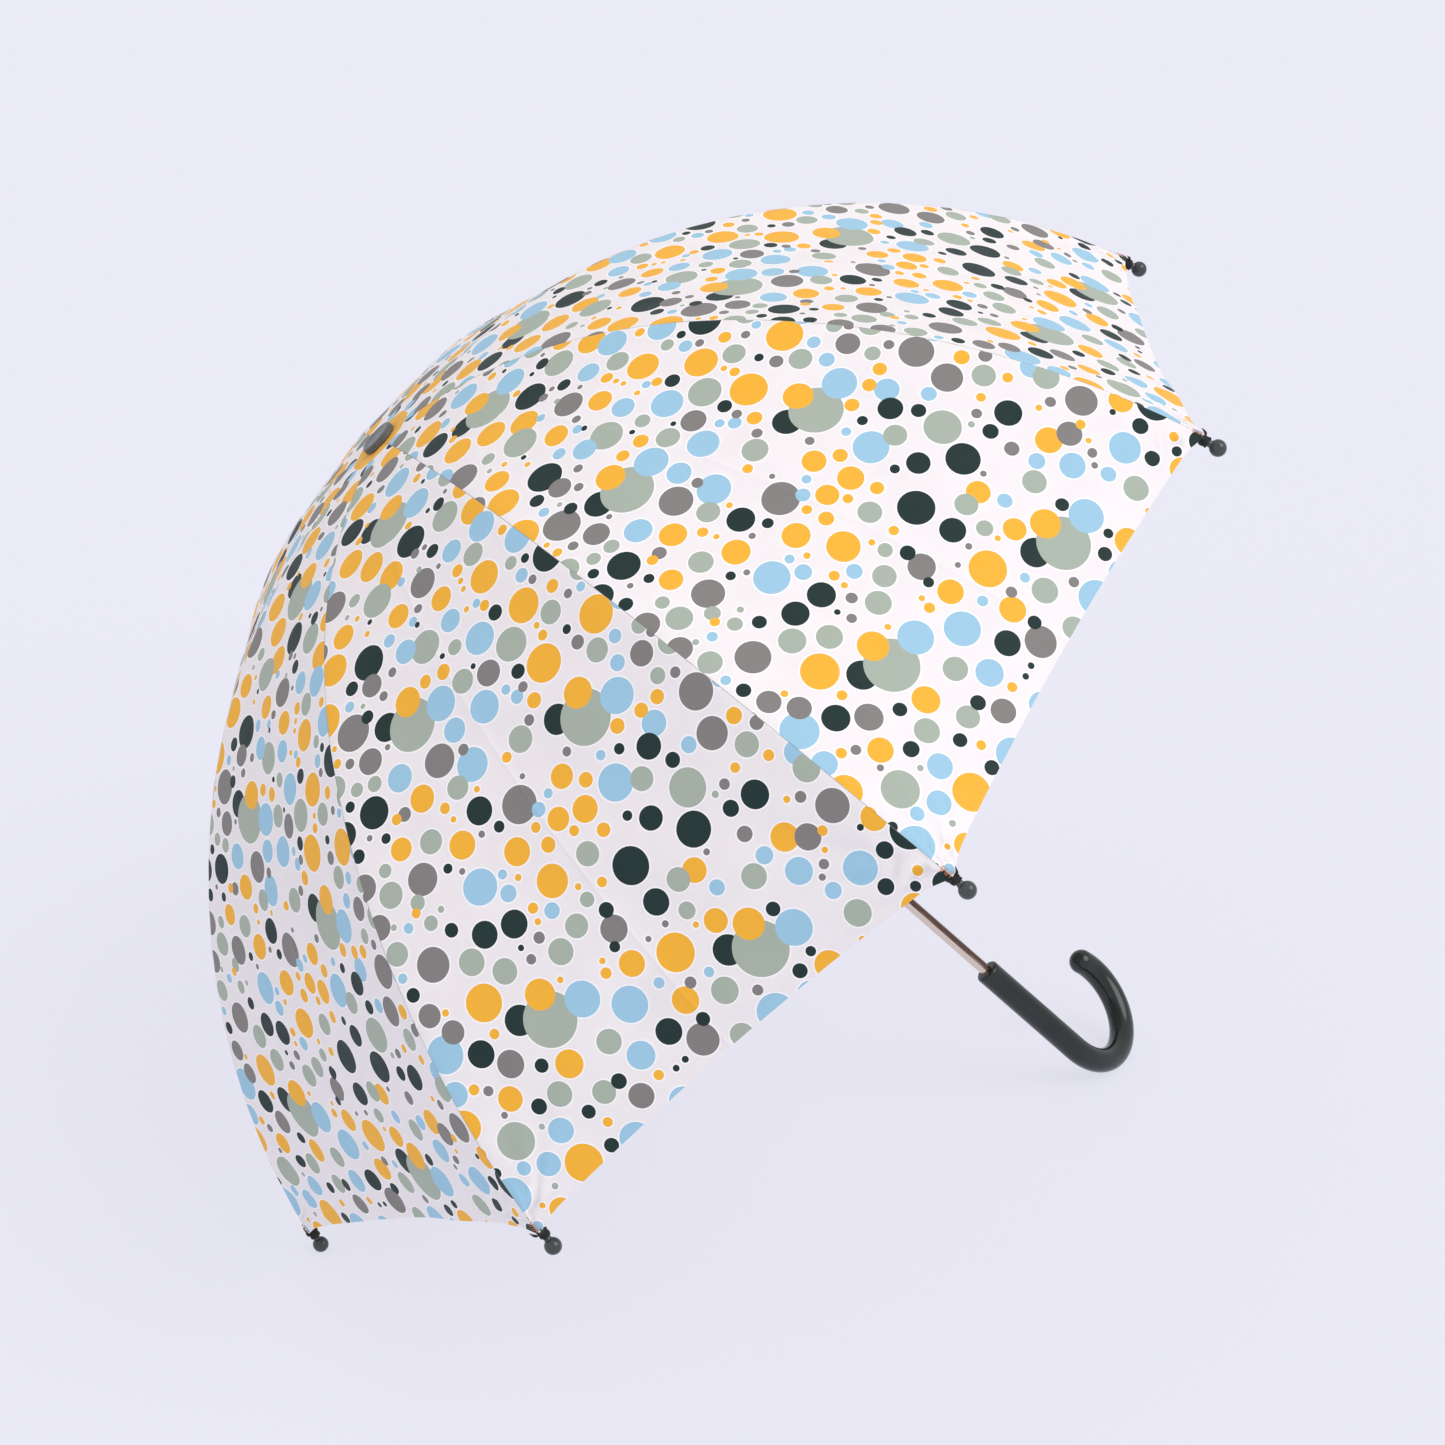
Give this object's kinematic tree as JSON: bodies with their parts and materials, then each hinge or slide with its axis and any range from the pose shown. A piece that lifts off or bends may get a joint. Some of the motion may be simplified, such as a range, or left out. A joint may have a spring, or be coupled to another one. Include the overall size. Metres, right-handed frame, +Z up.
{
  "type": "dome umbrella",
  "caption": "Child's dome umbrella: spotted cloth canopy on folding steel ribs, sliding runner with spring catches, slim chrome shaft and a crook handle, shown open and lying on its side.",
  "frame": {"origin": "middle of the bounding box's bottom, on the ground that the open umbrella lies on", "axes": "+Z up from the ground; -X towards the crown and +X towards the handle, with the shaft in the XZ plane; +Y across, the ribs being symmetrical about Y = 0"},
  "size_m": [0.5558, 0.7, 0.5392],
  "materials": {
    "canopy_cloth": "printed polyester pongee, white with round spots",
    "chrome_tube": "bright plated tube",
    "rib_steel": "plain rolled steel",
    "spring_wire": "bright wire and sheet",
    "dark_plastic": "glossy, very dark green-grey",
    "nylon": "moulded black nylon"
  },
  "bodies": {
    "frame": {"shaft": "chrome_tube", "crook_handle": "dark_plastic", "top_cap": "dark_plastic", "top_notch": "nylon", "notch_ring": "spring_wire"},
    "runner": {"runner": "nylon", "runner_ring": "spring_wire"},
    "top_catch": {"top_catch": "spring_wire"},
    "bottom_catch": {"bottom_catch": "spring_wire"},
    "rib_1": {"rib_upper_1": "rib_steel", "rib_rivet_1": "spring_wire", "gore_1": "canopy_cloth"},
    "rib_1_end": {"rib_lower_1": "rib_steel", "rib_tip_1": "dark_plastic"},
    "stretcher_1": {"stretcher_1": "rib_steel"},
    "rib_2": {"rib_upper_2": "rib_steel", "rib_rivet_2": "spring_wire", "gore_2": "canopy_cloth"},
    "rib_2_end": {"rib_lower_2": "rib_steel", "rib_tip_2": "dark_plastic"},
    "stretcher_2": {"stretcher_2": "rib_steel"},
    "rib_3": {"rib_upper_3": "rib_steel", "rib_rivet_3": "spring_wire", "gore_3": "canopy_cloth"},
    "rib_3_end": {"rib_lower_3": "rib_steel", "rib_tip_3": "dark_plastic"},
    "stretcher_3": {"stretcher_3": "rib_steel"},
    "rib_4": {"rib_upper_4": "rib_steel", "rib_rivet_4": "spring_wire", "gore_4": "canopy_cloth"},
    "rib_4_end": {"rib_lower_4": "rib_steel", "rib_tip_4": "dark_plastic"},
    "stretcher_4": {"stretcher_4": "rib_steel"},
    "rib_5": {"rib_upper_5": "rib_steel", "rib_rivet_5": "spring_wire", "gore_5": "canopy_cloth"},
    "rib_5_end": {"rib_lower_5": "rib_steel", "rib_tip_5": "dark_plastic"},
    "stretcher_5": {"stretcher_5": "rib_steel"},
    "rib_6": {"rib_upper_6": "rib_steel", "rib_rivet_6": "spring_wire", "gore_6": "canopy_cloth"},
    "rib_6_end": {"rib_lower_6": "rib_steel", "rib_tip_6": "dark_plastic"},
    "stretcher_6": {"stretcher_6": "rib_steel"},
    "rib_7": {"rib_upper_7": "rib_steel", "rib_rivet_7": "spring_wire", "gore_7": "canopy_cloth"},
    "rib_7_end": {"rib_lower_7": "rib_steel", "rib_tip_7": "dark_plastic", "closing_strap": "canopy_cloth"},
    "stretcher_7": {"stretcher_7": "rib_steel"},
    "rib_8": {"rib_upper_8": "rib_steel", "rib_rivet_8": "spring_wire", "gore_8": "canopy_cloth"},
    "rib_8_end": {"rib_lower_8": "rib_steel", "rib_tip_8": "dark_plastic"},
    "stretcher_8": {"stretcher_8": "rib_steel"}
  },
  "joints": [
    {"name": "runner_slide", "type": "slide", "parent": "frame", "child": "runner", "axis": [0.686, 0, -0.7276], "range_m": [0, 0.30349]},
    {"name": "top_catch_press", "type": "hinge", "parent": "frame", "child": "top_catch", "pos_m": [-0.01261, 0.00165, 0.27829], "axis": [0.7276, 0, 0.686], "range_deg": [0, 3.9], "stiffness_Nm_per_rad": 0.5},
    {"name": "bottom_catch_press", "type": "hinge", "parent": "frame", "child": "bottom_catch", "pos_m": [0.12424, 0.00165, 0.13316], "axis": [-0.7276, 0, -0.686], "range_deg": [0, 3.9], "stiffness_Nm_per_rad": 0.5},
    {"name": "rib_1_fold", "type": "hinge", "parent": "frame", "child": "rib_1", "pos_m": [-0.17326, -0.00364, 0.43587], "axis": [0.2784, -0.9239, 0.2625], "range_deg": [0, 67], "deforming": ["gore_1"]},
    {"name": "rib_1_flex", "type": "hinge", "parent": "rib_1", "child": "rib_1_end", "pos_m": [-0.26955, -0.08196, 0.26236], "axis": [-0.2784, 0.9239, -0.2625], "range_deg": [0, 38]},
    {"name": "stretcher_1_swing", "type": "hinge", "parent": "rib_1", "child": "stretcher_1", "pos_m": [-0.26955, -0.08196, 0.26236], "axis": [-0.2784, 0.9239, -0.2625], "range_deg": [0, 134]},
    {"name": "rib_2_fold", "type": "hinge", "parent": "frame", "child": "rib_2", "pos_m": [-0.16952, -0.00878, 0.4394], "axis": [0.6722, -0.3827, 0.6338], "range_deg": [0, 67], "deforming": ["gore_2"]},
    {"name": "rib_2_flex", "type": "hinge", "parent": "rib_2", "child": "rib_2_end", "pos_m": [-0.18522, -0.19788, 0.34188], "axis": [-0.6722, 0.3827, -0.6338], "range_deg": [0, 38]},
    {"name": "stretcher_2_swing", "type": "hinge", "parent": "rib_2", "child": "stretcher_2", "pos_m": [-0.18522, -0.19788, 0.34188], "axis": [-0.6722, 0.3827, -0.6338], "range_deg": [0, 134]},
    {"name": "rib_3_fold", "type": "hinge", "parent": "frame", "child": "rib_3", "pos_m": [-0.16423, -0.00878, 0.44439], "axis": [0.6722, 0.3827, 0.6338], "range_deg": [0, 67], "deforming": ["gore_3"]},
    {"name": "rib_3_flex", "type": "hinge", "parent": "rib_3", "child": "rib_3_end", "pos_m": [-0.06595, -0.19788, 0.45434], "axis": [-0.6722, -0.3827, -0.6338], "range_deg": [0, 38]},
    {"name": "stretcher_3_swing", "type": "hinge", "parent": "rib_3", "child": "stretcher_3", "pos_m": [-0.06595, -0.19788, 0.45434], "axis": [-0.6722, -0.3827, -0.6338], "range_deg": [0, 134]},
    {"name": "rib_4_fold", "type": "hinge", "parent": "frame", "child": "rib_4", "pos_m": [-0.16048, -0.00364, 0.44791], "axis": [0.2784, 0.9239, 0.2625], "range_deg": [0, 67], "deforming": ["gore_4"]},
    {"name": "rib_4_flex", "type": "hinge", "parent": "rib_4", "child": "rib_4_end", "pos_m": [0.01838, -0.08196, 0.53386], "axis": [-0.2784, -0.9239, -0.2625], "range_deg": [0, 38]},
    {"name": "stretcher_4_swing", "type": "hinge", "parent": "rib_4", "child": "stretcher_4", "pos_m": [0.01838, -0.08196, 0.53386], "axis": [-0.2784, -0.9239, -0.2625], "range_deg": [0, 134]},
    {"name": "rib_5_fold", "type": "hinge", "parent": "frame", "child": "rib_5", "pos_m": [-0.16048, 0.00364, 0.44791], "axis": [-0.2784, 0.9239, -0.2625], "range_deg": [0, 67], "deforming": ["gore_5"]},
    {"name": "rib_5_flex", "type": "hinge", "parent": "rib_5", "child": "rib_5_end", "pos_m": [0.01838, 0.08196, 0.53386], "axis": [0.2784, -0.9239, 0.2625], "range_deg": [0, 38]},
    {"name": "stretcher_5_swing", "type": "hinge", "parent": "rib_5", "child": "stretcher_5", "pos_m": [0.01838, 0.08196, 0.53386], "axis": [0.2784, -0.9239, 0.2625], "range_deg": [0, 134]},
    {"name": "rib_6_fold", "type": "hinge", "parent": "frame", "child": "rib_6", "pos_m": [-0.16423, 0.00878, 0.44439], "axis": [-0.6722, 0.3827, -0.6338], "range_deg": [0, 67], "deforming": ["gore_6"]},
    {"name": "rib_6_flex", "type": "hinge", "parent": "rib_6", "child": "rib_6_end", "pos_m": [-0.06595, 0.19788, 0.45434], "axis": [0.6722, -0.3827, 0.6338], "range_deg": [0, 38]},
    {"name": "stretcher_6_swing", "type": "hinge", "parent": "rib_6", "child": "stretcher_6", "pos_m": [-0.06595, 0.19788, 0.45434], "axis": [0.6722, -0.3827, 0.6338], "range_deg": [0, 134]},
    {"name": "rib_7_fold", "type": "hinge", "parent": "frame", "child": "rib_7", "pos_m": [-0.16952, 0.00878, 0.4394], "axis": [-0.6722, -0.3827, -0.6338], "range_deg": [0, 67], "deforming": ["gore_7"]},
    {"name": "rib_7_flex", "type": "hinge", "parent": "rib_7", "child": "rib_7_end", "pos_m": [-0.18522, 0.19788, 0.34188], "axis": [0.6722, 0.3827, 0.6338], "range_deg": [0, 38]},
    {"name": "stretcher_7_swing", "type": "hinge", "parent": "rib_7", "child": "stretcher_7", "pos_m": [-0.18522, 0.19788, 0.34188], "axis": [0.6722, 0.3827, 0.6338], "range_deg": [0, 134]},
    {"name": "rib_8_fold", "type": "hinge", "parent": "frame", "child": "rib_8", "pos_m": [-0.17326, 0.00364, 0.43587], "axis": [-0.2784, -0.9239, -0.2625], "range_deg": [0, 67], "deforming": ["gore_8"]},
    {"name": "rib_8_flex", "type": "hinge", "parent": "rib_8", "child": "rib_8_end", "pos_m": [-0.26955, 0.08196, 0.26236], "axis": [0.2784, 0.9239, 0.2625], "range_deg": [0, 38]},
    {"name": "stretcher_8_swing", "type": "hinge", "parent": "rib_8", "child": "stretcher_8", "pos_m": [-0.26955, 0.08196, 0.26236], "axis": [0.2784, 0.9239, 0.2625], "range_deg": [0, 134]}
  ],
  "couplings": [
    {"joint": "rib_1_fold", "follows": "runner_slide", "rad_per_m": 3.8531},
    {"joint": "rib_1_flex", "follows": "runner_slide", "rad_per_m": 2.1853},
    {"joint": "stretcher_1_swing", "follows": "runner_slide", "rad_per_m": 7.7062},
    {"joint": "rib_2_fold", "follows": "runner_slide", "rad_per_m": 3.8531},
    {"joint": "rib_2_flex", "follows": "runner_slide", "rad_per_m": 2.1853},
    {"joint": "stretcher_2_swing", "follows": "runner_slide", "rad_per_m": 7.7062},
    {"joint": "rib_3_fold", "follows": "runner_slide", "rad_per_m": 3.8531},
    {"joint": "rib_3_flex", "follows": "runner_slide", "rad_per_m": 2.1853},
    {"joint": "stretcher_3_swing", "follows": "runner_slide", "rad_per_m": 7.7062},
    {"joint": "rib_4_fold", "follows": "runner_slide", "rad_per_m": 3.8531},
    {"joint": "rib_4_flex", "follows": "runner_slide", "rad_per_m": 2.1853},
    {"joint": "stretcher_4_swing", "follows": "runner_slide", "rad_per_m": 7.7062},
    {"joint": "rib_5_fold", "follows": "runner_slide", "rad_per_m": 3.8531},
    {"joint": "rib_5_flex", "follows": "runner_slide", "rad_per_m": 2.1853},
    {"joint": "stretcher_5_swing", "follows": "runner_slide", "rad_per_m": 7.7062},
    {"joint": "rib_6_fold", "follows": "runner_slide", "rad_per_m": 3.8531},
    {"joint": "rib_6_flex", "follows": "runner_slide", "rad_per_m": 2.1853},
    {"joint": "stretcher_6_swing", "follows": "runner_slide", "rad_per_m": 7.7062},
    {"joint": "rib_7_fold", "follows": "runner_slide", "rad_per_m": 3.8531},
    {"joint": "rib_7_flex", "follows": "runner_slide", "rad_per_m": 2.1853},
    {"joint": "stretcher_7_swing", "follows": "runner_slide", "rad_per_m": 7.7062},
    {"joint": "rib_8_fold", "follows": "runner_slide", "rad_per_m": 3.8531},
    {"joint": "rib_8_flex", "follows": "runner_slide", "rad_per_m": 2.1853},
    {"joint": "stretcher_8_swing", "follows": "runner_slide", "rad_per_m": 7.7062}
  ]
}
